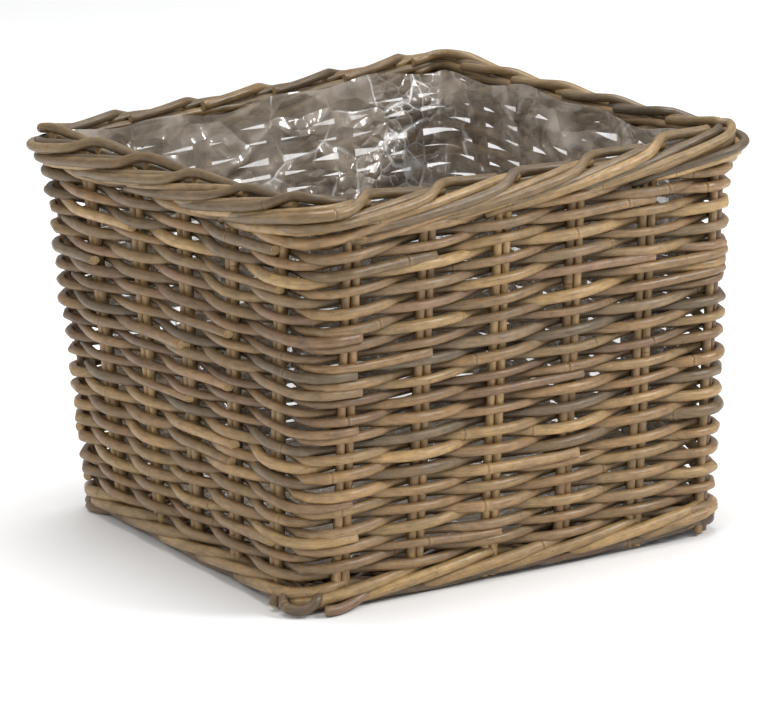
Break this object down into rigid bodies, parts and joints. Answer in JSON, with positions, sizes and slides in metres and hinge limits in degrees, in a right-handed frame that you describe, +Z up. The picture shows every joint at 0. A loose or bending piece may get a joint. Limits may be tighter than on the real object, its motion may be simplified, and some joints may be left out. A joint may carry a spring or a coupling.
{
  "type": "wicker log basket",
  "caption": "Square tapered log basket woven from rattan rods on upright stake pairs, with a rolled rim border, a low standing foot and a loose clear film liner.",
  "frame": {"origin": "centre of the footprint on the floor", "axes": "+Z up, +X to the right, -Y towards the front; the rim's sides lie along X and Y"},
  "size_m": [0.4004, 0.4004, 0.303],
  "materials": {
    "stake_rattan": "natural satin bark",
    "weave_rattan": "natural satin bark, grey-brown and straw",
    "wale_rattan": "natural satin bark, straw",
    "border_rattan": "natural satin bark with pale cut ends",
    "foot_rattan": "darker brown bark",
    "base_rattan": "natural bark",
    "liner_film": "clear crinkled film"
  },
  "bodies": {
    "root": {"front_left_corner_stake_pair": "stake_rattan", "front_stake_pair_1": "stake_rattan", "front_stake_pair_2": "stake_rattan", "front_stake_pair_3": "stake_rattan", "front_stake_pair_4": "stake_rattan", "front_right_corner_stake_pair": "stake_rattan", "right_stake_pair_1": "stake_rattan", "right_stake_pair_2": "stake_rattan", "right_stake_pair_3": "stake_rattan", "right_stake_pair_4": "stake_rattan", "right_stake_pair_5": "stake_rattan", "back_right_corner_stake_pair": "stake_rattan", "back_stake_pair_1": "stake_rattan", "back_stake_pair_2": "stake_rattan", "back_stake_pair_3": "stake_rattan", "back_stake_pair_4": "stake_rattan", "back_left_corner_stake_pair": "stake_rattan", "left_stake_pair_1": "stake_rattan", "left_stake_pair_2": "stake_rattan", "left_stake_pair_3": "stake_rattan", "left_stake_pair_4": "stake_rattan", "left_stake_pair_5": "stake_rattan", "foot_border": "foot_rattan", "lower_wale": "wale_rattan", "weave_course_1": "weave_rattan", "weave_course_2": "weave_rattan", "weave_course_3": "weave_rattan", "weave_course_4": "weave_rattan", "weave_course_5": "weave_rattan", "weave_course_6": "weave_rattan", "upper_wale": "wale_rattan", "rim_border": "border_rattan", "base_stick_1": "base_rattan", "base_stick_2": "base_rattan", "base_stick_3": "base_rattan", "base_stick_4": "base_rattan", "base_stick_5": "base_rattan", "base_stick_6": "base_rattan", "base_stick_7": "base_rattan", "base_weave": "base_rattan", "film_liner": "liner_film"}
  },
  "joints": []
}
